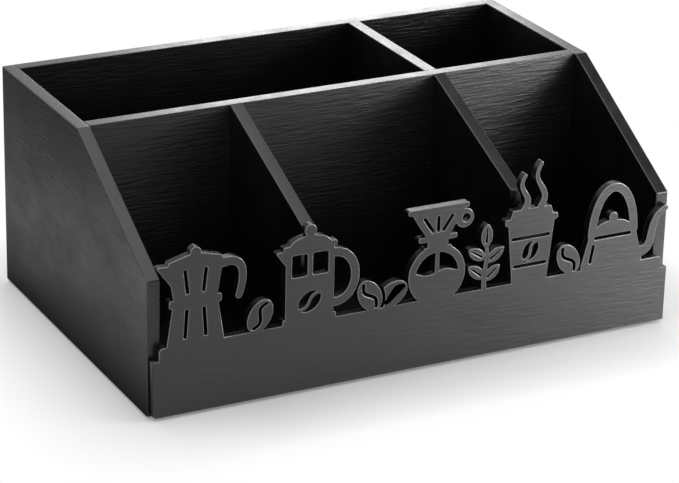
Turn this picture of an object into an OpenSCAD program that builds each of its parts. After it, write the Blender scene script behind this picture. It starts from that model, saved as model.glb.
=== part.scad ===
// Countertop organizer: a doweled carcass of painted boards with a fretwork front board.
// Millimetres. +Z is up, the front looks towards -Y, and the pads stand on z = 0.

/* [Carcass] */
// Overall width across both side panels
body_w = 400; // [380:5:440]
// Depth of the side panels from front edge to rear edge
body_d = 256; // [230:2:290]
// Height of the boards that stand full height
body_h = 164; // [150:1:190]
// Thickness of the carcass boards
board_t = 9.5; // [8:0.5:12]
// Width of the flat that breaks each board's arrises
arris = 0.6; // [0.3:0.1:1]

/* [Front slope] */
// Depth from the side panels' front edge to the middle wall
front_bay_d = 118; // [100:1:130]
// Height of a side panel's front edge
side_front_h = 97; // [80:1:110]
// Height of a front divider's front edge
divider_front_h = 116; // [90:1:125]
// Level stretch at the top of each slope, before the middle wall
slope_level = 2; // [1:0.5:10]
// Distance from the front board to a front divider
divider_setback = 5.5; // [3:0.5:10]

/* [Compartments] */
// Clear width of the left front compartment
left_bay_w = 104.5; // [90:0.5:120]
// Clear width of the right front compartment
right_bay_w = 107; // [90:0.5:120]
// Clear width of the short rear compartment
short_bay_w = 109.5; // [90:0.5:130]

/* [Front board] */
// Thickness of the fretwork board
front_t = 6; // [4:0.5:9]
// Distance from the fretwork board's ends to the side panels' outer faces
front_inset = 1; // [0:0.5:4]
// Distance from the carcass's underside up to the fretwork board's lower edge
front_lift = 1; // [0:0.5:3]
// Height of the plain strip below the frieze
strip_h = 41; // [30:1:50]
// Height of the tray line that the frieze stands on
tray_h = 9; // [6:0.5:12]
// Distance from the tray line's end to the board's end
tray_inset = 5; // [2:1:20]
// Distance from the frieze's outer motifs to the board's end
frieze_inset = 2; // [1:0.5:6]
// Width of the cut lines inside the motifs
line_w = 2.4; // [1.8:0.1:3]
// Width of the handles in the frieze
handle_w = 6.5; // [5:0.5:8]
// Width across the stove-top pot's base
pot_w = 44; // [38:1:50]
// Height of the stove-top pot with its knob
pot_h = 68; // [60:1:76]
// Width of the press jug's body
press_w = 36; // [32:1:44]
// Height of the press jug with its plunger knob
press_h = 70; // [60:1:80]
// Diameter of the round carafe
carafe_d = 44; // [38:1:50]
// Height of the carafe with its dripper
carafe_h = 67; // [60:1:76]
// Width across the cup's lid
cup_w = 42; // [36:1:46]
// Height of the cup with its lid
cup_h = 54; // [48:1:62]
// Height of the steam above the cup's lid
steam_h = 33; // [20:1:36]
// Width across the kettle's base
kettle_w = 50; // [44:1:56]
// Height of the kettle up to the top of its bail handle
kettle_h = 62; // [56:1:70]
// Height of the leafy sprig
sprig_h = 48; // [40:1:56]
// Length of a coffee bean
bean_l = 25; // [20:1:28]
// Width of a coffee bean
bean_w = 17; // [14:0.5:20]
// Angle that a standing bean leans from level
bean_lean = 60; // [45:1:75]

/* [Dowels] */
// Diameter of the blind dowels
dowel_d = 5; // [4:0.5:6]
// Length of the blind dowels
dowel_l = 16; // [14:1:20]
// Depth that a dowel enters the board whose face it meets
dowel_seat = 5.5; // [4:0.25:6]
// Clearance between a dowel and its hole, on the radius
dowel_gap = 0.05; // [0.02:0.01:0.1]
// Distance from the end of a joint to its outermost dowel
dowel_inset = 30; // [24:1:34]

/* [Pads] */
// Diameter of the anti-slip pads
pad_d = 16; // [12:1:24]
// Thickness of the anti-slip pads
pad_t = 1.2; // [1:0.1:3]
// Distance from a pad's centre to the carcass's sides, front and back
pad_inset = 26; // [22:1:40]

/* [Hidden] */
$fn = 64;
PAINT = [0.09, 0.09, 0.09];
PAINT_FRONT = [0.13, 0.13, 0.13];
BEECH = [0.80, 0.63, 0.42];
RUBBER = [0.05, 0.05, 0.06];

// Inner width between the side panels, and the main planes of the carcass
inner_w = body_w - 2 * board_t;
front_w = body_w - 2 * front_inset;
left_in = -inner_w / 2;
right_in = inner_w / 2;
back_in = body_d - board_t;
wall_front = front_bay_d;
wall_back = front_bay_d + board_t;

// Left faces of the dividers
left_divider_x = left_in + left_bay_w;
right_divider_x = right_in - right_bay_w - board_t;
rear_divider_x = right_in - short_bay_w - board_t;

// ---- Boards ----

// Moves a piece from the carcass's own planes, with y = 0 at the side panels' front edge
// and z = 0 under the boards, to the place where the whole organizer is centred
module in_place() {
    translate([0, (front_t - body_d) / 2, pad_t]) children();
}

// Turns an outline drawn as depth and height into a board that stands across x
module across_x(x) {
    translate([x, 0, 0]) rotate([90, 0, 90]) children();
}

// Turns an outline drawn as width and height into a board that stands across y, t thick
module across_y(y, t) {
    translate([0, y + t, 0]) rotate([90, 0, 0]) children();
}

// Outline with each corner cut back by c along both of its edges
function clipped(p, c) = [for (i = [0 : len(p) - 1])
    let (before = p[(i + len(p) - 1) % len(p)], after = p[(i + 1) % len(p)])
    each [p[i] + c * (before - p[i]) / norm(before - p[i]), p[i] + c * (after - p[i]) / norm(after - p[i])]];

// Flat board of a convex outline, with all of its arrises broken
module board(outline, t) {
    p = clipped(outline, arris);
    difference() {
        linear_extrude(t) polygon(p);
        for (i = [0 : len(p) - 1]) {
            side = p[(i + 1) % len(p)] - p[i];
            for (z = [0, t])
                translate([p[i].x, p[i].y, z]) rotate([0, 0, atan2(side.y, side.x)])
                    translate([-arris, 0, 0]) rotate([45, 0, 0])
                        translate([0, -arris / sqrt(2), -arris / sqrt(2)])
                            cube([norm(side) + 2 * arris, arris * sqrt(2), arris * sqrt(2)]);
        }
    }
}

function rectangle(x0, y0, x1, y1) = [[x0, y0], [x1, y0], [x1, y1], [x0, y1]];

side_outline = [[0, 0], [body_d, 0], [body_d, body_h], [wall_front - slope_level, body_h], [0, side_front_h]];
front_divider_outline = [[divider_setback, board_t], [wall_front, board_t], [wall_front, body_h],
    [wall_front - slope_level, body_h], [divider_setback, divider_front_h]];

// ---- Dowel joints ----

// Evenly spread places between two ends
function spread(count, from, to) = [for (i = [0 : count - 1]) from + (to - from) * i / (count - 1)];

// Rows of dowels along the joints
side_rows_z = spread(3, dowel_inset, body_h - dowel_inset);
side_rows_y = spread(3, dowel_inset, back_in - dowel_inset);
wall_rows_z = [board_t + dowel_inset, body_h - dowel_inset];
divider_rows_z = [board_t + dowel_inset, 3 * dowel_inset];
rear_rows_z = [2 * dowel_inset, body_h - dowel_inset];
foot_rows_y = [dowel_inset, wall_front - dowel_inset];
board_mid = board_t / 2;

// Each joint holds the places where its dowels cross from one board to the other
left_back_joint = [for (z = side_rows_z) [left_in, back_in + board_mid, z]];
left_bottom_joint = [for (y = side_rows_y) [left_in, y, board_mid]];
left_wall_joint = [for (z = wall_rows_z) [left_in, wall_front + board_mid, z]];
right_back_joint = [for (p = left_back_joint) [right_in, p.y, p.z]];
right_bottom_joint = [for (p = left_bottom_joint) [right_in, p.y, p.z]];
right_wall_joint = [for (p = left_wall_joint) [right_in, p.y, p.z]];
back_bottom_joint = [for (x = spread(4, left_in + dowel_inset, right_in - dowel_inset))
    [x, back_in, board_mid]];
wall_bottom_joint = [for (x = spread(3, left_in + dowel_inset, right_in - dowel_inset))
    [x, wall_front + board_mid, board_t]];
rear_back_joint = [for (z = rear_rows_z) [rear_divider_x + board_mid, back_in, z]];
rear_wall_joint = [for (z = rear_rows_z) [rear_divider_x + board_mid, wall_back, z]];
left_front_joint = [for (z = divider_rows_z) [left_divider_x + board_mid, wall_front, z]];
right_front_joint = [for (z = divider_rows_z) [right_divider_x + board_mid, wall_front, z]];
left_foot_joint = [for (y = foot_rows_y) [left_divider_x + board_mid, y, board_t]];
right_foot_joint = [for (y = foot_rows_y) [right_divider_x + board_mid, y, board_t]];

// Directions from the face of one board into the edge of the other
TO_RIGHT = [0, 90, 0];
TO_LEFT = [0, -90, 0];
TO_FRONT = [90, 0, 0];
TO_BACK = [-90, 0, 0];
UP = [0, 0, 0];

// Turned dowel with chamfered ends, its seat below z = 0
module dowel() {
    end = dowel_d / 8;
    translate([0, 0, -dowel_seat]) {
        cylinder(d1 = dowel_d - 2 * end, d2 = dowel_d, h = end);
        translate([0, 0, end]) cylinder(d = dowel_d, h = dowel_l - 2 * end);
        translate([0, 0, dowel_l - end]) cylinder(d1 = dowel_d, d2 = dowel_d - 2 * end, h = end);
    }
}

// Hole for one dowel through both boards, a little longer than the dowel
module dowel_hole() {
    end_gap = 4 * dowel_gap;
    translate([0, 0, -dowel_seat - end_gap])
        cylinder(r = dowel_d / 2 + dowel_gap, h = dowel_l + 2 * end_gap);
}

module dowels(joint, turn) {
    in_place() color(BEECH)
        for (p = joint) translate(p) rotate(turn) dowel();
}

module holes(joint, turn) {
    for (p = joint) translate(p) rotate(turn) dowel_hole();
}

// ---- Carcass ----

module left_side_panel() {
    in_place() color(PAINT) difference() {
        across_x(-body_w / 2) board(side_outline, board_t);
        holes(left_back_joint, TO_RIGHT);
        holes(left_bottom_joint, TO_RIGHT);
        holes(left_wall_joint, TO_RIGHT);
    }
}

module right_side_panel() {
    in_place() color(PAINT) difference() {
        across_x(right_in) board(side_outline, board_t);
        holes(right_back_joint, TO_LEFT);
        holes(right_bottom_joint, TO_LEFT);
        holes(right_wall_joint, TO_LEFT);
    }
}

module back_panel() {
    in_place() color(PAINT) difference() {
        across_y(back_in, board_t) board(rectangle(left_in, 0, right_in, body_h), board_t);
        holes(left_back_joint, TO_RIGHT);
        holes(right_back_joint, TO_LEFT);
        holes(back_bottom_joint, TO_FRONT);
        holes(rear_back_joint, TO_FRONT);
    }
}

module bottom_panel() {
    in_place() color(PAINT) difference() {
        board(rectangle(left_in, 0, right_in, back_in), board_t);
        holes(left_bottom_joint, TO_RIGHT);
        holes(right_bottom_joint, TO_LEFT);
        holes(back_bottom_joint, TO_FRONT);
        holes(wall_bottom_joint, UP);
        holes(left_foot_joint, UP);
        holes(right_foot_joint, UP);
    }
}

module middle_wall() {
    in_place() color(PAINT) difference() {
        across_y(wall_front, board_t) board(rectangle(left_in, board_t, right_in, body_h), board_t);
        holes(left_wall_joint, TO_RIGHT);
        holes(right_wall_joint, TO_LEFT);
        holes(wall_bottom_joint, UP);
        holes(rear_wall_joint, TO_BACK);
        holes(left_front_joint, TO_FRONT);
        holes(right_front_joint, TO_FRONT);
    }
}

module rear_divider() {
    in_place() color(PAINT) difference() {
        across_x(rear_divider_x) board(rectangle(wall_back, board_t, back_in, body_h), board_t);
        holes(rear_back_joint, TO_FRONT);
        holes(rear_wall_joint, TO_BACK);
    }
}

module front_divider(x, wall_joint, foot_joint) {
    in_place() color(PAINT) difference() {
        across_x(x) board(front_divider_outline, board_t);
        holes(wall_joint, TO_FRONT);
        holes(foot_joint, UP);
    }
}

// ---- Frieze outlines: width along x, height along y, standing on y = 0 ----

function unit(v) = v / norm(v);

// Arc that rounds corner b between its neighbours a and c
function corner_arc(a, b, c, r, n = 4) =
    let (u = unit(a - b), v = unit(c - b), half = acos(u * v) / 2)
    let (cut = min(r / tan(half), 0.45 * norm(a - b), 0.45 * norm(c - b)), q = cut * tan(half))
    let (mid = b + unit(u + v) * q / sin(half), from = b + u * cut - mid, to = b + v * cut - mid)
    let (start = atan2(from.y, from.x), turn = atan2(to.y, to.x) - start)
    let (sweep = turn > 180 ? turn - 360 : turn < -180 ? turn + 360 : turn)
    [for (i = [0 : n]) mid + q * [cos(start + sweep * i / n), sin(start + sweep * i / n)]];

// Outline with all of its corners rounded
function rounded(p, r) = [for (i = [0 : len(p) - 1])
    each corner_arc(p[(i + len(p) - 1) % len(p)], p[i], p[(i + 1) % len(p)], r)];

function oval(a, b) = [for (i = [0 : 35]) [a * cos(10 * i), b * sin(10 * i)]];

// Points along a curve that leaves a towards b and reaches d from c
function curve(a, b, c, d, n = 12) = [for (i = [0 : n]) let (t = i / n, s = 1 - t)
    s * s * s * a + 3 * s * s * t * b + 3 * s * t * t * c + t * t * t * d];

// One side of a strip along a line of points, whose width runs from w0 to w1
function strip_side(p, w0, w1, side) = [for (i = [0 : len(p) - 1])
    let (along = unit(p[min(i + 1, len(p) - 1)] - p[max(i - 1, 0)]), w = w0 + (w1 - w0) * i / (len(p) - 1))
    p[i] + side * w / 2 * [-along.y, along.x]];

// Round end of a strip of width w that stops at a point
function strip_end(at, along, w) = let (turn = atan2(along.y, along.x))
    [for (i = [-2 : 2]) at + w / 2 * [cos(turn + 30 * i), sin(turn + 30 * i)]];

// Round-ended bar along a line of points
module bar(p, w0, w1) {
    last = len(p) - 1;
    left = strip_side(p, w0, w1, 1);
    polygon(concat(strip_side(p, w0, w1, -1), strip_end(p[last], p[last] - p[last - 1], w1),
        [for (i = [last : -1 : 0]) left[i]], strip_end(p[0], p[0] - p[1], w0)));
}

// Straight cut line with round ends
module line(from, to) {
    bar([from, to], line_w, line_w);
}

// S-shaped crease of a bean, length l along x
function crease(l, w) = [for (i = [-6 : 6]) [l * i / 12, w * 0.14 * sin(30 * i)]];

// Whole bean with its crease cut through, centred on the origin
module bean(l, w) {
    difference() {
        polygon(oval(l / 2, w / 2));
        bar(crease(l * 0.78, w), line_w, line_w);
    }
}

// Height of the middle of a leaning bean that is let a little way into the tray
function bean_rest(lean) =
    sqrt(pow(bean_l / 2 * sin(lean), 2) + pow(bean_w / 2 * cos(lean), 2)) - line_w / 2;

// Bean that stands on the tray, leaning by an angle
module standing_bean(lean) {
    translate([0, bean_rest(lean)]) rotate(lean) bean(bean_l, bean_w);
}

// Two beans on the tray, the second behind the first with a cut line between them
module bean_pair(front_lean, back_lean) {
    standing_bean(front_lean);
    difference() {
        translate([bean_w, 0]) standing_bean(back_lean);
        translate([0, bean_rest(front_lean)]) rotate(front_lean)
            polygon(oval(bean_l / 2 + line_w, bean_w / 2 + line_w));
    }
}

// Pointed leaf of length l along x, cut along its rib
module leaf(l, w) {
    r = (l * l + w * w) / (4 * w);
    difference() {
        intersection() {
            translate([l / 2, r - w / 2]) circle(r = r, $fn = 96);
            translate([l / 2, w / 2 - r]) circle(r = r, $fn = 96);
        }
        bar([[l * 0.26, 0], [l * 0.8, 0]], line_w * 0.7, line_w * 0.4);
    }
}

// Leafy sprig that grows from the tray
module sprig(h) {
    stem = curve([0, -line_w], [-3, h * 0.25], [3, h * 0.45], [0, h * 0.66]);
    bar(stem, line_w * 1.6, line_w * 1.1);
    translate([0, h * 0.62]) rotate(88) leaf(h * 0.38, h * 0.19);
    translate([0, h * 0.46]) rotate(148) leaf(h * 0.34, h * 0.18);
    translate([0, h * 0.4]) rotate(34) leaf(h * 0.36, h * 0.18);
    translate([0, h * 0.16]) rotate(142) leaf(h * 0.36, h * 0.18);
    translate([-line_w / 2, h * 0.12]) rotate(40) leaf(h * 0.34, h * 0.18);
}

// Eight-sided stove-top pot: boiler, collar, upper pot with spout, lid, knob and handle
module stove_pot(w, h) {
    collar = h * 0.42;
    rim = h * 0.83;
    difference() {
        union() {
            polygon(rounded([[-w / 2, -tray_h], [w / 2, -tray_h], [w * 0.37, collar], [-w * 0.37, collar]], 2));
            polygon(rounded(rectangle(-w * 0.43, collar - 2, w * 0.43, collar + 4), 1.5));
            polygon(rounded([[-w * 0.34, collar], [w * 0.34, collar], [w * 0.45, rim], [-w * 0.64, rim + 1],
                [-w * 0.4, collar + (rim - collar) * 0.5]], 1));
            polygon(rounded([[-w * 0.47, rim - 1], [w * 0.47, rim - 1], [w * 0.43, rim + 3],
                [w * 0.1, h * 0.93], [-w * 0.1, h * 0.93], [-w * 0.43, rim + 3]], 1.5));
            translate([0, h - w * 0.09]) circle(d = w * 0.18);
            bar(curve([w * 0.4, rim - handle_w / 2], [w * 0.85, rim + 2], [w * 0.8, collar + 12],
                [w * 0.71, collar]), handle_w, handle_w * 0.8);
        }
        for (side = [-1, 1]) {
            line([side * w * 0.17, 5], [side * w * 0.14, collar - 5]);
            line([side * w * 0.13, collar + 8], [side * w * 0.17, rim - 5]);
        }
    }
}

// Press jug: framed glass with spout and handle, plunger disc, lid, rod and knob
module press_jug(w, h) {
    rim = h * 0.76;
    disc = h * 0.42;
    glass = w / 2 - 4.5;
    difference() {
        union() {
            polygon(rounded(rectangle(-w / 2 - 2, -tray_h, w / 2 + 2, 4), 1.5));
            polygon(rounded(rectangle(-w / 2, -tray_h, w / 2, rim), 1));
            polygon(rounded([[-w / 2 + 1, rim - 12], [-w / 2 + 1, rim], [-w / 2 - 8, rim]], 1));
            polygon(rounded(rectangle(-w / 2 - 2, rim - 1, w / 2 + 2, rim + 3), 1.5));
            intersection() {
                translate([0, rim + 1]) polygon(oval(w / 2 - 2, 8));
                polygon(rectangle(-w / 2, rim, w / 2, h));
            }
            polygon(rectangle(-2, rim, 2, h - 4));
            translate([0, h - 4.5]) circle(r = 4.5);
            bar(curve([w / 2 - 2, rim - 6], [w / 2 + 22, rim - 4], [w / 2 + 22, 8], [w / 2 - 2, 11]),
                handle_w, handle_w);
        }
        for (side = [-1, 1])
            scale([side, 1]) polygon(rounded(rectangle(2, disc + 4, glass, rim - 4), 1.5));
        translate([0, disc / 2]) rotate(35) half_beans(disc * 0.62, disc * 0.44);
    }
}

// Cut-out of a bean in two halves, which leaves its crease standing
module half_beans(l, w) {
    difference() {
        polygon(oval(l / 2, w / 2));
        bar(crease(l * 1.1, w), line_w, line_w);
    }
}

// Round carafe with a cone dripper on its neck
module drip_carafe(d, h) {
    r = d / 2;
    belly = r * 0.78;
    neck = belly + r * 0.9;
    cone = neck + 7;
    difference() {
        union() {
            intersection() {
                translate([0, belly]) circle(r = r);
                polygon(rectangle(-d, -tray_h, d, h));
            }
            polygon(rectangle(-r * 0.36, belly, r * 0.36, cone));
            polygon(rounded(rectangle(-r * 0.5, neck - 3, r * 0.5, neck + 1), 1.5));
            polygon(rounded(rectangle(-r * 0.68, cone - 2, r * 0.68, cone + 2), 1.5));
            polygon([[-r * 0.36, cone], [r * 0.36, cone], [r * 0.98, h - 2], [-r * 0.98, h - 2]]);
            polygon(rounded(rectangle(-r * 1.07, h - 4, r * 1.07, h), 1.5));
            translate([r * 0.92, (cone + h) / 2]) circle(r = r * 0.32);
        }
        difference() {
            intersection() {
                translate([0, belly]) circle(r = r - 5.5);
                translate([0, belly + 2]) polygon(concat([[d, r], [-d, r]],
                    [for (x = [-r : r / 8 : r]) [x, 1.6 * sin(x / r * 300)]]));
            }
            polygon(rectangle(-1.6, belly, 1.6, h));
        }
        translate([r * 0.98, (cone + h) / 2]) circle(r = r * 0.14);
        for (side = [-1, 0, 1])
            line([side * r * 0.18, cone + 5.5], [side * r * 0.48, h - 8]);
    }
}

// Lidded paper cup with a sleeve, and two wisps of steam
module lidded_cup(w, h) {
    rim = h - 11;
    foot = w * 0.31;
    top = w * 0.44;
    low = rim * 0.28;
    high = rim * 0.76;
    difference() {
        union() {
            polygon(rounded([[-foot, -tray_h], [foot, -tray_h], [top, rim + 1], [-top, rim + 1]], 1));
            polygon(rounded(rectangle(-w / 2, rim, w / 2, rim + 5), 1.8));
            polygon(rounded([[-w * 0.42, rim + 3], [w * 0.42, rim + 3], [w * 0.36, h], [-w * 0.36, h]], 1.5));
            for (side = [-1, 1])
                translate([side * w * 0.15, h - 1]) steam(side > 0 ? steam_h : steam_h * 0.78);
        }
        line([-foot + 1, low], [foot - 1, low]);
        line([-foot - 1, high], [foot + 1, high]);
        translate([0, (low + high) / 2]) rotate(55) half_beans(rim * 0.36, rim * 0.26);
    }
}

// Rising wisp that narrows to its tip
module steam(h) {
    bar([for (i = [0 : 16]) [h * 0.1 * sin(22.5 * i), h * i / 16]], handle_w * 0.85, line_w);
}

// Long-spouted kettle with a bail handle
module bail_kettle(w, h) {
    shoulder = h * 0.46;
    bail_r = w * 0.34;
    bail_foot = shoulder - 4;
    difference() {
        union() {
            polygon(rounded([[-w / 2, -tray_h], [w / 2, -tray_h], [w / 2, 3], [w * 0.36, shoulder],
                [-w * 0.36, shoulder], [-w / 2, 3]], 2));
            translate([0, shoulder - 1]) polygon(oval(w * 0.3, 7));
            translate([0, shoulder + 8]) circle(r = 3.6);
            bar(curve([w * 0.4, 7], [w * 0.8, 4], [w * 0.5, shoulder], [w * 0.86, shoulder + 8]),
                handle_w * 1.3, handle_w * 0.7);
            bar([for (a = [0 : 9 : 180]) [bail_r * cos(a), bail_foot + (h - handle_w / 2 - bail_foot) * sin(a)]],
                handle_w, handle_w);
        }
        line([-w * 0.28, shoulder - 6], [w * 0.28, shoulder - 6]);
        line([-w * 0.35, 5], [-w * 0.31, shoulder - 12]);
    }
}

// Reach of each motif to the left and right of its own middle line, in the order that they stand
bean_reach = bean_l * 0.42;
motif_reach = [[pot_w * 0.66, pot_w * 0.83], [bean_reach, bean_reach],
    [press_w / 2 + 8, press_w / 2 + 17], [bean_reach, bean_reach + bean_w],
    [carafe_d * 0.54, carafe_d * 0.54], [sprig_h * 0.3, sprig_h * 0.3],
    [cup_w / 2, cup_w / 2], [bean_reach, bean_reach], [kettle_w / 2, kettle_w * 0.9]];

function total(list, i = 0) = i < len(list) ? list[i] + total(list, i + 1) : 0;

// Even gap between neighbouring motifs, and the middle line of each
motif_gap = (front_w - 2 * frieze_inset - total([for (m = motif_reach) m[0] + m[1]])) / (len(motif_reach) - 1);
motif_x = [for (i = [0 : len(motif_reach) - 1]) -front_w / 2 + frieze_inset + motif_reach[i][0]
    + total([for (k = [0 : 1 : i - 1]) motif_reach[k][0] + motif_reach[k][1] + motif_gap])];

module on_tray(i) {
    translate([motif_x[i], strip_h + tray_h]) children();
}

module frieze() {
    polygon(rounded(rectangle(-front_w / 2 + tray_inset, strip_h - tray_h, front_w / 2 - tray_inset,
        strip_h + tray_h), tray_h / 3));
    on_tray(0) stove_pot(pot_w, pot_h);
    on_tray(1) standing_bean(bean_lean);
    on_tray(2) press_jug(press_w, press_h);
    on_tray(3) bean_pair(180 - bean_lean, bean_lean / 2);
    on_tray(4) drip_carafe(carafe_d, carafe_h);
    on_tray(5) sprig(sprig_h);
    on_tray(6) lidded_cup(cup_w, cup_h);
    on_tray(7) standing_bean(180 - bean_lean);
    on_tray(8) bail_kettle(kettle_w, kettle_h);
}

module fretwork_front_board() {
    in_place() color(PAINT_FRONT) across_y(-front_t, front_t)
        translate([0, front_lift]) linear_extrude(front_t) {
            polygon(rectangle(-front_w / 2, 0, front_w / 2, strip_h));
            frieze();
        }
}

// ---- Pads ----

// Round pad under the bottom panel, towards side x and end y
module pad(x, y) {
    edge = pad_t / 4;
    place_y = y < 0 ? pad_inset : body_d - pad_inset;
    in_place() color(RUBBER) translate([x * (body_w / 2 - pad_inset), place_y, -pad_t]) {
        cylinder(d1 = pad_d - 2 * edge, d2 = pad_d, h = edge);
        translate([0, 0, edge]) cylinder(d = pad_d, h = pad_t - edge);
    }
}

left_side_panel();
right_side_panel();
back_panel();
bottom_panel();
middle_wall();
rear_divider();
front_divider(left_divider_x, left_front_joint, left_foot_joint);  // left_front_divider
front_divider(right_divider_x, right_front_joint, right_foot_joint);  // right_front_divider
fretwork_front_board();
dowels(left_back_joint, TO_RIGHT);  // left_side_back_dowels
dowels(left_bottom_joint, TO_RIGHT);  // left_side_bottom_dowels
dowels(left_wall_joint, TO_RIGHT);  // left_side_wall_dowels
dowels(right_back_joint, TO_LEFT);  // right_side_back_dowels
dowels(right_bottom_joint, TO_LEFT);  // right_side_bottom_dowels
dowels(right_wall_joint, TO_LEFT);  // right_side_wall_dowels
dowels(back_bottom_joint, TO_FRONT);  // back_bottom_dowels
dowels(wall_bottom_joint, UP);  // wall_bottom_dowels
dowels(rear_back_joint, TO_FRONT);  // rear_divider_back_dowels
dowels(rear_wall_joint, TO_BACK);  // rear_divider_wall_dowels
union() {  // left_front_divider_dowels
    dowels(left_front_joint, TO_FRONT);
    dowels(left_foot_joint, UP);
}
union() {  // right_front_divider_dowels
    dowels(right_front_joint, TO_FRONT);
    dowels(right_foot_joint, UP);
}
pad(-1, -1);  // front_left_pad
pad(1, -1);  // front_right_pad
pad(-1, 1);  // rear_left_pad
pad(1, 1);  // rear_right_pad
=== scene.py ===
from math import radians

import bpy
from mathutils import Matrix, Vector


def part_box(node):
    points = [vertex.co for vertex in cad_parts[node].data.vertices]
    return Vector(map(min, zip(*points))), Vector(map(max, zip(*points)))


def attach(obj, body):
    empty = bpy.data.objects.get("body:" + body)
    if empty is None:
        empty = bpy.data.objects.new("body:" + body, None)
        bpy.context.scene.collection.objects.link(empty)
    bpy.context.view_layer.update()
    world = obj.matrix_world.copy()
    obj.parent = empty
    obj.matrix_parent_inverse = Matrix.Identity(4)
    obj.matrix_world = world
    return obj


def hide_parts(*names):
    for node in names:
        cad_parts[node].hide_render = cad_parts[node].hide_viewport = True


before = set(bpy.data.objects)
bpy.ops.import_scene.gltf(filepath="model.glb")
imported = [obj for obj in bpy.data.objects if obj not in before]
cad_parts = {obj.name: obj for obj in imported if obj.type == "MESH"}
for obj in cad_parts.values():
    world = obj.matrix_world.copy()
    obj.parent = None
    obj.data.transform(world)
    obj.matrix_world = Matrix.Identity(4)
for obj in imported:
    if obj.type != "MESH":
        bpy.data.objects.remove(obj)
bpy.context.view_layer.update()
MM = 0.001

# ---------------------------------------------------------------------------------------------
# Side panels
# Two five-sided boards of open-grained wood, the grain from front to back. They are sawn to
# their slope, the arrises are sanded round, and black satin paint leaves the grain in relief.

side_front_height = 97 * MM
slope_level = 2 * MM
arris_round = 0.8 * MM
corner_round = 2.0 * MM
corner_steps = 4
paint_black = (0.0012, 0.0012, 0.0012)
# The next two greys: a rubbed tone on raised grain and sanded edges, which is also the dark end of
# the painted highlight on the arrises, and a paler grey used only for that painted highlight.
paint_rubbed_and_highlight = (0.006, 0.006, 0.0061)
paint_highlight_pale = (0.03, 0.03, 0.0305)


def near(first, second):
    """True where two measures are the same to a hundredth of a millimetre."""
    return abs(first - second) < 0.01 * MM


def squared_board(name, node):
    """A board of the size and place of a node of the carcass, planed square."""
    low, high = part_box(node)
    bpy.ops.object.select_all(action="DESELECT")
    bpy.ops.mesh.primitive_cube_add(size=1, location=(low + high) / 2, scale=high - low)
    board = bpy.context.active_object
    board.name = board.data.name = name
    bpy.ops.object.transform_apply(location=True, rotation=True, scale=True)
    return board


def saw_slope(board, foot, top):
    """Saws off what lies in front of the slope from foot to top, each given as (y, z)."""
    run, rise = top[0] - foot[0], top[1] - foot[1]
    bpy.ops.object.mode_set(mode="EDIT")
    bpy.ops.mesh.select_all(action="SELECT")
    bpy.ops.mesh.bisect(plane_co=(0, *foot), plane_no=(0, -rise, run), use_fill=True,
                        clear_outer=True)
    bpy.ops.object.mode_set(mode="OBJECT")


def ease_edges(board, chosen, width, steps):
    """Rounds the edges that chosen picks by their two ends, or chamfers them in one step."""
    bpy.ops.object.select_all(action="DESELECT")
    board.select_set(True)
    bpy.context.view_layer.objects.active = board
    bpy.ops.object.mode_set(mode="EDIT")
    bpy.ops.mesh.select_mode(type="EDGE")
    bpy.ops.mesh.select_all(action="DESELECT")
    bpy.ops.object.mode_set(mode="OBJECT")
    corners = board.data.vertices
    for edge in board.data.edges:
        edge.select = chosen(*(corners[index].co for index in edge.vertices))
    bpy.ops.object.mode_set(mode="EDIT")
    bpy.ops.mesh.bevel(offset=width, segments=steps, affect="EDGES")
    bpy.ops.object.mode_set(mode="OBJECT")


def shade_flat_faces(board):
    """Smooth shading over the rounded arrises only, so that the faces between them look flat."""
    bpy.ops.object.shade_smooth_by_angle(angle=radians(40))
    flat = board.modifiers.new("flat faces", "WEIGHTED_NORMAL")
    flat.keep_sharp = True
    bpy.ops.object.modifier_apply(modifier=flat.name)


def sand_arrises(board, width):
    """Rounds every arris with a sanding block, and passes over the corners already rounded."""
    bpy.context.view_layer.objects.active = board
    rounding = board.modifiers.new("arrises", "BEVEL")
    rounding.width = width
    rounding.segments = 3
    rounding.limit_method = "ANGLE"
    rounding.angle_limit = radians(25)
    bpy.ops.object.modifier_apply(modifier=rounding.name)
    shade_flat_faces(board)


def copied_board(board, name, node):
    """A second board from the same template, at the place of its own node."""
    twin = board.copy()
    twin.data = board.data.copy()
    twin.name = twin.data.name = name
    bpy.context.scene.collection.objects.link(twin)
    bpy.ops.object.select_all(action="DESELECT")
    twin.select_set(True)
    bpy.context.view_layer.objects.active = twin
    twin.location.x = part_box(node)[0].x - min(corner[0] for corner in board.bound_box)
    bpy.ops.object.transform_apply(location=True, rotation=True, scale=True)
    return twin


def add_maths(tree, operation, first, second):
    """A maths node on two values, each a number or the output of another node."""
    node = tree.nodes.new("ShaderNodeMath")
    node.operation = operation
    for socket, value in zip(node.inputs, (first, second)):
        if isinstance(value, (int, float)):
            socket.default_value = value
        else:
            tree.links.new(value, socket)
    return node.outputs["Value"]


def add_spread(tree, value, low, high, at_low, at_high):
    """The value moved from the range low..high to at_low..at_high, and held at its ends."""
    node = tree.nodes.new("ShaderNodeMapRange")
    for socket, number in zip(list(node.inputs)[1:5], (low, high, at_low, at_high)):
        socket.default_value = number
    tree.links.new(value, node.inputs["Value"])
    return node.outputs["Result"]


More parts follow.
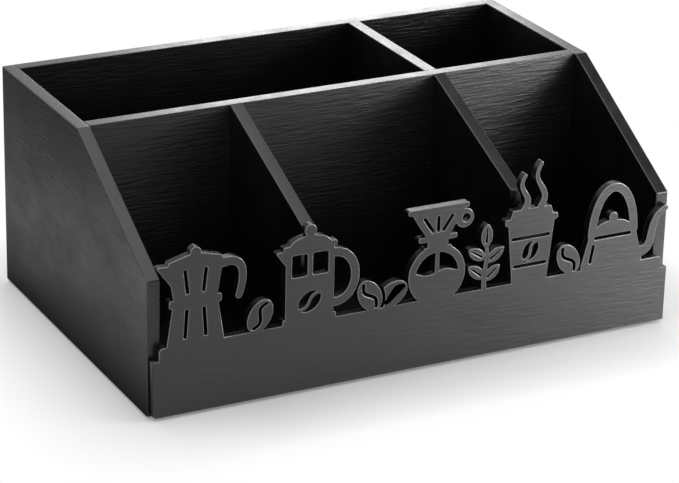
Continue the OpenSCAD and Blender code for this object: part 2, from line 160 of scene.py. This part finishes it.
class Finish:
    """A paint in the making: its material and short ways to add the nodes that pattern it."""

    def __init__(self, name, grain=""):
        self.paint = bpy.data.materials.new(name)
        self.paint.use_nodes = True
        self.tree = self.paint.node_tree
        self.shader = self.tree.nodes["Principled BSDF"]
        self.place = self.tree.nodes.new("ShaderNodeTexCoord").outputs["Object"]
        self.grain = grain

    def noise(self, along, across, detail, roughness, distortion=0.0):
        """Noise with so many features per metre along the grain and across it."""
        mapping = self.tree.nodes.new("ShaderNodeMapping")
        mapping.inputs["Scale"].default_value = [along if axis == self.grain else across
                                                 for axis in "XYZ"]
        texture = self.tree.nodes.new("ShaderNodeTexNoise")
        texture.inputs["Scale"].default_value = 1
        texture.inputs["Detail"].default_value = detail
        texture.inputs["Roughness"].default_value = roughness
        texture.inputs["Distortion"].default_value = distortion
        self.tree.links.new(self.place, mapping.inputs["Vector"])
        self.tree.links.new(mapping.outputs["Vector"], texture.inputs["Vector"])
        return texture.outputs["Fac"]

    def speckle(self, density, detail, roughness):
        """Noise that is alike in every direction."""
        return self.noise(density, density, detail, roughness)

    def spread(self, value, low, high, at_low=0.0, at_high=1.0):
        return add_spread(self.tree, value, low, high, at_low, at_high)

    def maths(self, operation, first, second):
        return add_maths(self.tree, operation, first, second)

    def colour(self, factor, first, second):
        mix = self.tree.nodes.new("ShaderNodeMix")
        mix.data_type = "RGBA"
        mix.inputs["A"].default_value = (*first, 1)
        mix.inputs["B"].default_value = (*second, 1)
        self.tree.links.new(factor, mix.inputs["Factor"])
        self.tree.links.new(mix.outputs["Result"], self.shader.inputs["Base Color"])

    def relief(self, height, strength, depth):
        bump = self.tree.nodes.new("ShaderNodeBump")
        bump.inputs["Strength"].default_value = strength
        bump.inputs["Distance"].default_value = depth
        self.tree.links.new(height, bump.inputs["Height"])
        self.tree.links.new(bump.outputs["Normal"], self.shader.inputs["Normal"])

    def roughness(self, value):
        self.tree.links.new(value, self.shader.inputs["Roughness"])

    def shine(self, level):
        self.shader.inputs["Specular IOR Level"].default_value = level


def grained_paint(name, grain, ripple, cloud, shine):
    """Black satin paint on a face, over raised grain, with a cloudy sheen."""
    finish = Finish(name, grain)
    ripples = finish.noise(along=55, across=520, detail=2, roughness=0.5, distortion=0.35)
    fibres = finish.noise(along=120, across=1500, detail=2, roughness=0.5)
    patches = finish.spread(finish.noise(along=14, across=22, detail=3, roughness=0.55), 0.35, 0.62)
    clouds = finish.noise(along=22, across=36, detail=6, roughness=0.68)
    raised = finish.maths("MULTIPLY", finish.spread(ripples, 0.34, 0.66),
                          finish.spread(patches, 0, 1, at_low=0.4, at_high=1.0))
    fibre_share = 0.3
    height = finish.maths("ADD", raised, finish.maths("MULTIPLY", fibres, fibre_share))
    finish.relief(height, ripple, 0.25 * MM)
    finish.colour(finish.maths("MULTIPLY", raised, clouds), paint_black, paint_rubbed_and_highlight)
    satin, smoother_on_the_grain = 0.38, -0.04
    sheen = finish.spread(clouds, 0.3, 0.7, at_low=satin - cloud, at_high=satin + cloud)
    finish.roughness(finish.maths("ADD", sheen,
                                  finish.maths("MULTIPLY", raised, smoother_on_the_grain)))
    finish.shine(shine)
    return finish.paint


def sanded_paint(name, black, rubbed, smooth, shine=0.5):
    """The same paint on sanded wood, close and smooth with a faint speckle."""
    finish = Finish(name)
    speckle = finish.speckle(420, detail=3, roughness=0.6)
    cloud = finish.speckle(60, detail=4, roughness=0.6)
    finish.relief(speckle, 0.12, 0.12 * MM)
    finish.colour(cloud, black, rubbed)
    finish.roughness(finish.maths(
        "ADD", finish.spread(cloud, 0.3, 0.7, at_low=smooth - 0.05, at_high=smooth + 0.05),
        finish.spread(speckle, 0.3, 0.7, at_low=-0.03, at_high=0.03)))
    finish.shine(shine)
    return finish.paint


def fit_board(board, node, face_paint, arris_paint):
    """Paints a board's faces, edges and arrises, and fixes it in the place of its node."""
    low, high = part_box(node)
    thin = min(range(3), key=lambda axis: high[axis] - low[axis])
    board.data.materials.clear()
    for paint in (face_paint, edge_paint, arris_paint):
        board.data.materials.append(paint)
    for polygon in board.data.polygons:
        facing = abs(polygon.normal[thin])
        flat_on, edge_on = facing > 0.99, facing < 0.05
        polygon.material_index = 0 if flat_on else 1 if edge_on else 2
    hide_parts(node)
    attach(board, "root")


grain_to_the_back = grained_paint("black_paint_grain_to_the_back", "Y",
                                  ripple=0.36, cloud=0.09, shine=0.42)
edge_paint = sanded_paint("black_paint_sanded_edge", paint_black, paint_rubbed_and_highlight, smooth=0.31)
# Every arris of the carcass is painted lighter than its faces, a painted highlight along its
# rounded edges.
board_arris_highlight = sanded_paint("black_paint_rubbed_arris", paint_rubbed_and_highlight, paint_highlight_pale, smooth=0.24)

panel_low, panel_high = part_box("left_side_panel")
slope_top = (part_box("middle_wall")[0].y - slope_level, panel_high.z)


def foot_of_the_front(a, b):
    """Picks the edge across a side panel at the foot of its front."""
    return (near(a.y, panel_low.y) and near(b.y, panel_low.y)
            and near(a.z, panel_low.z) and near(b.z, panel_low.z))


left_side = squared_board("left_side", "left_side_panel")
saw_slope(left_side, (panel_low.y, panel_low.z + side_front_height), slope_top)
ease_edges(left_side, foot_of_the_front, corner_round, corner_steps)
sand_arrises(left_side, arris_round)
right_side = copied_board(left_side, "right_side", "right_side_panel")
fit_board(left_side, "left_side_panel", grain_to_the_back, board_arris_highlight)
fit_board(right_side, "right_side_panel", grain_to_the_back, board_arris_highlight)

# ---------------------------------------------------------------------------------------------
# Back, middle wall, bottom and rear divider
# Plain squared boards of the same stock, glued and doweled between the side panels. The long
# ones have their grain along the width, and the divider has its own from front to back.

joint_arris = 0.5 * MM
arris_steps = 3
grain_along_width = grained_paint("black_paint_grain_along_width", "X",
                                  ripple=0.54, cloud=0.03, shine=0.43)
for name, node, length, paint in (("back_board", "back_panel", 0, grain_along_width),
                                  ("middle_board", "middle_wall", 0, grain_along_width),
                                  ("bottom_board", "bottom_panel", 0, grain_along_width),
                                  ("rear_dividing_board", "rear_divider", 1, grain_to_the_back)):
    board = squared_board(name, node)
    ease_edges(board, lambda a, b: not near(a[length], b[length]), joint_arris, arris_steps)
    shade_flat_faces(board)
    fit_board(board, node, paint, board_arris_highlight)

# ---------------------------------------------------------------------------------------------
# Front dividers
# Two boards that part the front row. They stop short of the front board, and their top slopes
# down from the middle wall to a blunt front edge.

divider_front_height = 116 * MM
divider_low, divider_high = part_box("left_front_divider")
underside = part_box("bottom_panel")[0].z


def clear_of_the_joints(a, b):
    """Picks the edges of a front divider that meet neither the bottom nor the middle wall."""
    on_bottom = near(a.z, divider_low.z) or near(b.z, divider_low.z)
    on_wall = near(a.y, divider_high.y) and near(b.y, divider_high.y)
    return not on_bottom and not on_wall


left_divider = squared_board("left_front_dividing_board", "left_front_divider")
saw_slope(left_divider, (divider_low.y, underside + divider_front_height), slope_top)
ease_edges(left_divider, clear_of_the_joints, arris_round, arris_steps)
shade_flat_faces(left_divider)
right_divider = copied_board(left_divider, "right_front_dividing_board", "right_front_divider")
fit_board(left_divider, "left_front_divider", grain_to_the_back, board_arris_highlight)
fit_board(right_divider, "right_front_divider", grain_to_the_back, board_arris_highlight)

# ---------------------------------------------------------------------------------------------
# Fretwork front board
# A thin board cut with a fine saw into a plain strip with a frieze of coffee ware above. Its
# arrises are sanded round and painted pale grey as a painted highlight, and its ends are
# chamfered behind for glue.

fret_round = 0.5 * MM
fret_rounding = ((0.15 * MM, 0.35 * MM), (0.35 * MM, 0.15 * MM))  # (inward, outward) by step
glue_chamfer = 2.4 * MM
left_corner, right_corner = 3.4 * MM, 1.0 * MM
strip_corner_steps = 5
# Pale greys on the cut arrises of the frieze, a painted highlight.
cut_highlight_grey, cut_highlight_pale = (0.08, 0.08, 0.08), (0.15, 0.15, 0.15)
fret_low, fret_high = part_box("fretwork_front_board")
fretwork = bpy.data.objects.new("front_board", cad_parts["fretwork_front_board"].data.copy())
bpy.context.scene.collection.objects.link(fretwork)
bpy.ops.object.select_all(action="DESELECT")
fretwork.select_set(True)
bpy.context.view_layer.objects.active = fretwork
bpy.ops.object.mode_set(mode="EDIT")
bpy.ops.mesh.select_all(action="SELECT")
bpy.ops.mesh.remove_doubles(threshold=0.002 * MM)
bpy.ops.mesh.dissolve_limited(angle_limit=radians(0.5))
bpy.ops.object.mode_set(mode="OBJECT")


def back_of_an_end(a, b):
    """Picks the upright edges at the back of the board's two ends."""
    return (near(abs(a.x), fret_high.x) and near(a.x, b.x)
            and near(a.y, fret_high.y) and near(b.y, fret_high.y))


ease_edges(fretwork, back_of_an_end, glue_chamfer, 1)
for end, radius in ((fret_low.x, left_corner), (fret_high.x, right_corner)):
    ease_edges(fretwork, lambda a, b: near(a.x, end) and near(b.x, end)
               and near(a.z, fret_low.z) and near(b.z, fret_low.z), radius, strip_corner_steps)
for side in (-1, 1):
    bpy.ops.object.mode_set(mode="EDIT")
    bpy.ops.mesh.select_mode(type="FACE")
    bpy.ops.mesh.select_all(action="DESELECT")
    bpy.ops.object.mode_set(mode="OBJECT")
    for polygon in fretwork.data.polygons:
        polygon.select = polygon.normal.y * side > 0.99
    bpy.ops.object.mode_set(mode="EDIT")
    bpy.ops.transform.translate(value=(0, -side * fret_round, 0))
    for inward, outward in fret_rounding:
        bpy.ops.mesh.inset(thickness=inward, depth=0, use_even_offset=False)
        bpy.ops.transform.translate(value=(0, side * outward, 0))
    bpy.ops.object.mode_set(mode="OBJECT")
shade_flat_faces(fretwork)
front_paint = grained_paint("front_board_paint", "X", ripple=0.42, cloud=0.05, shine=0.64)
# The cut arrises are painted pale grey, a painted highlight along every outline.
fret_arris_highlight = sanded_paint("front_board_cut_arris", cut_highlight_grey, cut_highlight_pale, smooth=0.2, shine=1.0)
fit_board(fretwork, "fretwork_front_board", front_paint, fret_arris_highlight)
edge_slot, arris_slot = 1, 2
for polygon in fretwork.data.polygons:
    at_an_end = abs(polygon.center.x) > fret_high.x - fret_round
    if at_an_end and polygon.material_index == arris_slot:
        polygon.material_index = edge_slot

# ---------------------------------------------------------------------------------------------
# Dowels and pads
# Turned beech dowels sit blind in the joints, and four thin rubber discs are glued underneath.
# Their shape is already full in the carcass's own drawing, so they only get their finish.


def turned_beech():
    """Bare beech with short dark flecks."""
    finish = Finish("turned_beech")
    flecks = finish.speckle(900, detail=4, roughness=0.6)
    finish.colour(finish.spread(flecks, 0.35, 0.6), (0.42, 0.27, 0.14), (0.66, 0.48, 0.29))
    finish.roughness(finish.spread(flecks, 0.3, 0.7, at_low=0.65, at_high=0.5))
    return finish.paint


def foam_rubber():
    """Dull black rubber with a fine skin."""
    finish = Finish("foam_rubber")
    cells = finish.speckle(2500, detail=2, roughness=0.5)
    finish.colour(cells, (0.018, 0.018, 0.019), (0.028, 0.028, 0.03))
    finish.roughness(finish.spread(cells, 0.3, 0.7, at_low=0.7, at_high=0.95))
    finish.relief(cells, 0.4, 0.1 * MM)
    return finish.paint


beech, rubber = turned_beech(), foam_rubber()
for node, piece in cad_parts.items():
    if node.endswith("_dowels") or node.endswith("_pad"):
        piece.data.materials.clear()
        piece.data.materials.append(beech if node.endswith("_dowels") else rubber)

# ---------------------------------------------------------------------------------------------
# Table
# A white table with a slight sheen. Away from the organizer it fades to pure white, and a soft
# grey of painted shadow stays along the front board, as in the photo.

bpy.ops.mesh.primitive_plane_add(size=12, location=(0, 0, 0))
table = bpy.context.active_object
table.name = "table"
half_footprint = {"X": 0.19, "Y": 0.12}
first_white, white_from = 0.15, 0.10
painted_shadow_share, painted_shadow_depth, painted_shadow_reach = 0.38, 0.65, 0.08
mirrored_white_from, mirrored_white_full = 0.10, 0.35
white = Finish("white_table")
white.colour(white.speckle(2, detail=2, roughness=0.5), (0.72, 0.72, 0.72), (0.74, 0.74, 0.74))
white.shader.inputs["Roughness"].default_value = 0.28
spot = white.tree.nodes.new("ShaderNodeSeparateXYZ")
white.tree.links.new(white.place, spot.inputs["Vector"])
beside = [white.maths("MAXIMUM",
                      white.maths("SUBTRACT", white.maths("ABSOLUTE", spot.outputs[axis], 0), half),
                      0)
          for axis, half in half_footprint.items()]
away = white.maths("SQRT", white.maths("ADD", white.maths("POWER", beside[0], 2),
                                       white.maths("POWER", beside[1], 2)), 0)
rays = white.tree.nodes.new("ShaderNodeLightPath")
# Painted shadow: near the organizer, from its left end rightwards, the camera sees the white dimmed
# to grey.
painted_shadow_side = white.spread(spot.outputs["X"], -0.21, -0.12)
seen = white.maths("MULTIPLY", rays.outputs["Is Camera Ray"],
                   white.maths("MAXIMUM",
                               white.spread(away, 0.0, white_from, at_low=first_white, at_high=1),
                               white.maths("MULTIPLY", painted_shadow_side, painted_shadow_share)))
mirrored = white.maths("MULTIPLY", white.maths("MAXIMUM", rays.outputs["Is Glossy Ray"],
                                               rays.outputs["Is Transmission Ray"]),
                       white.spread(away, mirrored_white_from, mirrored_white_full))
bare = white.tree.nodes.new("ShaderNodeEmission")
white.tree.links.new(
    white.maths("SUBTRACT", 1,
                white.maths("MULTIPLY", painted_shadow_side,
                            white.spread(away, 0.0, painted_shadow_reach, at_low=painted_shadow_depth, at_high=0))),
    bare.inputs["Strength"])
fade = white.tree.nodes.new("ShaderNodeMixShader")
white.tree.links.new(white.maths("ADD", seen, mirrored), fade.inputs["Fac"])
white.tree.links.new(white.shader.outputs["BSDF"], fade.inputs[1])
white.tree.links.new(bare.outputs["Emission"], fade.inputs[2])
white.tree.links.new(fade.outputs["Shader"], white.tree.nodes["Material Output"].inputs["Surface"])
table.data.materials.append(white.paint)

# ---------------------------------------------------------------------------------------------
# Surround and lamps
# A plain surround that is white at eye level and dim overhead in what the paint mirrors, a large
# softbox above, one behind for the top edges, and three at the front right. A black sheet on the
# table is seen only in reflections, as painted shade that darkens the left panel towards its rear
# and a painted shadow along its foot.

surround_light = 0.45
white_backdrop, dim_ceiling = 0.55, -0.2
backdrop_top, ceiling_edge = 0.42, 0.66
surround = bpy.data.worlds.new("surround")
surround.use_nodes = True
tree = surround.node_tree
rays = tree.nodes.new("ShaderNodeLightPath")
seen = add_maths(tree, "MAXIMUM",
                 add_maths(tree, "MAXIMUM", rays.outputs["Is Camera Ray"],
                           rays.outputs["Is Glossy Ray"]),
                 rays.outputs["Is Transmission Ray"])
sky = tree.nodes.new("ShaderNodeTexCoord")
rise = tree.nodes.new("ShaderNodeSeparateXYZ")
tree.links.new(sky.outputs["Generated"], rise.inputs["Vector"])
backdrop = add_spread(tree, rise.outputs["Z"], backdrop_top, ceiling_edge,
                      white_backdrop, dim_ceiling)
background = tree.nodes["Background"]
background.inputs["Color"].default_value = (1, 1, 1, 1)
tree.links.new(add_maths(tree, "ADD", add_maths(tree, "MULTIPLY", seen, backdrop), surround_light),
               background.inputs["Strength"])
bpy.context.scene.world = surround


def softbox(name, place, target, size, power):
    """A soft rectangular lamp at place that faces target."""
    lamp = bpy.data.lights.new(name, "AREA")
    lamp.shape = "RECTANGLE"
    lamp.size, lamp.size_y = size
    lamp.energy = power
    box = bpy.data.objects.new(name, lamp)
    bpy.context.scene.collection.objects.link(box)
    box.location = place
    box.rotation_euler = (Vector(target) - Vector(place)).to_track_quat("-Z", "Y").to_euler()


softbox("overhead_softbox", place=(-0.30, 0.10, 1.60), target=(-0.30, 0.10, 0.0),
        size=(2.0, 2.0), power=24)
softbox("rear_softbox", place=(0.665, 1.295, 0.63), target=(0.04, 0.10, 0.16),
        size=(0.43, 0.5), power=3.7)
softbox("front_softbox", place=(0.52, -0.44, 0.20), target=(0.10, -0.08, 0.10),
        size=(0.28, 0.32), power=3.2)
softbox("low_softbox", place=(0.50, -0.52, 0.07), target=(0.15, -0.13, 0.06),
        size=(0.30, 0.12), power=1.15)
softbox("arris_softbox", place=(0.62, -0.66, 1.15), target=(0.05, -0.13, 0.06),
        size=(0.30, 0.30), power=2.0)

bpy.ops.mesh.primitive_plane_add(size=1, location=(-0.90, 0.85, 0.002))
flag = bpy.context.active_object
flag.scale = (1.40, 2.3, 1)
flag.name = "painted_shade_sheet"
bpy.ops.object.transform_apply(location=True, rotation=True, scale=True)
shade_sheet = Finish("painted_shade_sheet")
shade_sheet.shader.inputs["Base Color"].default_value = (0.005, 0.005, 0.005, 1)
shade_sheet.shine(0)
place = shade_sheet.tree.nodes.new("ShaderNodeSeparateXYZ")
shade_sheet.tree.links.new(shade_sheet.place, place.inputs["Vector"])
# Painted shade in reflections: the sheet is dark behind the left panel and along its foot.
behind = shade_sheet.maths("MULTIPLY",
                     shade_sheet.spread(place.outputs["X"], -0.36, -0.24, at_low=1, at_high=0),
                     shade_sheet.spread(place.outputs["Y"], 0.15, 0.32))
along_the_foot = shade_sheet.spread(place.outputs["X"], -0.26, -0.20, at_low=0, at_high=0.82)
shade_sheet.tree.links.new(shade_sheet.maths("MAXIMUM", behind, along_the_foot), shade_sheet.shader.inputs["Alpha"])
flag.data.materials.append(shade_sheet.paint)
flag.visible_camera = flag.visible_diffuse = False
flag.visible_shadow = flag.visible_transmission = False

# ---------------------------------------------------------------------------------------------
# Camera
# It stands where the photo was taken, as found from the photo's straight edges.

camera_place = (-0.88766, -1.70736, 0.83954)
camera_azimuth, camera_elevation, camera_roll = radians(-27.603), radians(22.399), radians(1.374)
lens = bpy.data.cameras.new("camera")
lens.lens = 153.79
camera = bpy.data.objects.new("camera", lens)
bpy.context.scene.collection.objects.link(camera)
camera.matrix_world = (Matrix.Translation(camera_place) @ Matrix.Rotation(camera_azimuth, 4, "Z")
                       @ Matrix.Rotation(radians(90) - camera_elevation, 4, "X")
                       @ Matrix.Rotation(camera_roll, 4, "Z"))
bpy.context.scene.camera = camera
bpy.context.scene.view_settings.view_transform = "Standard"
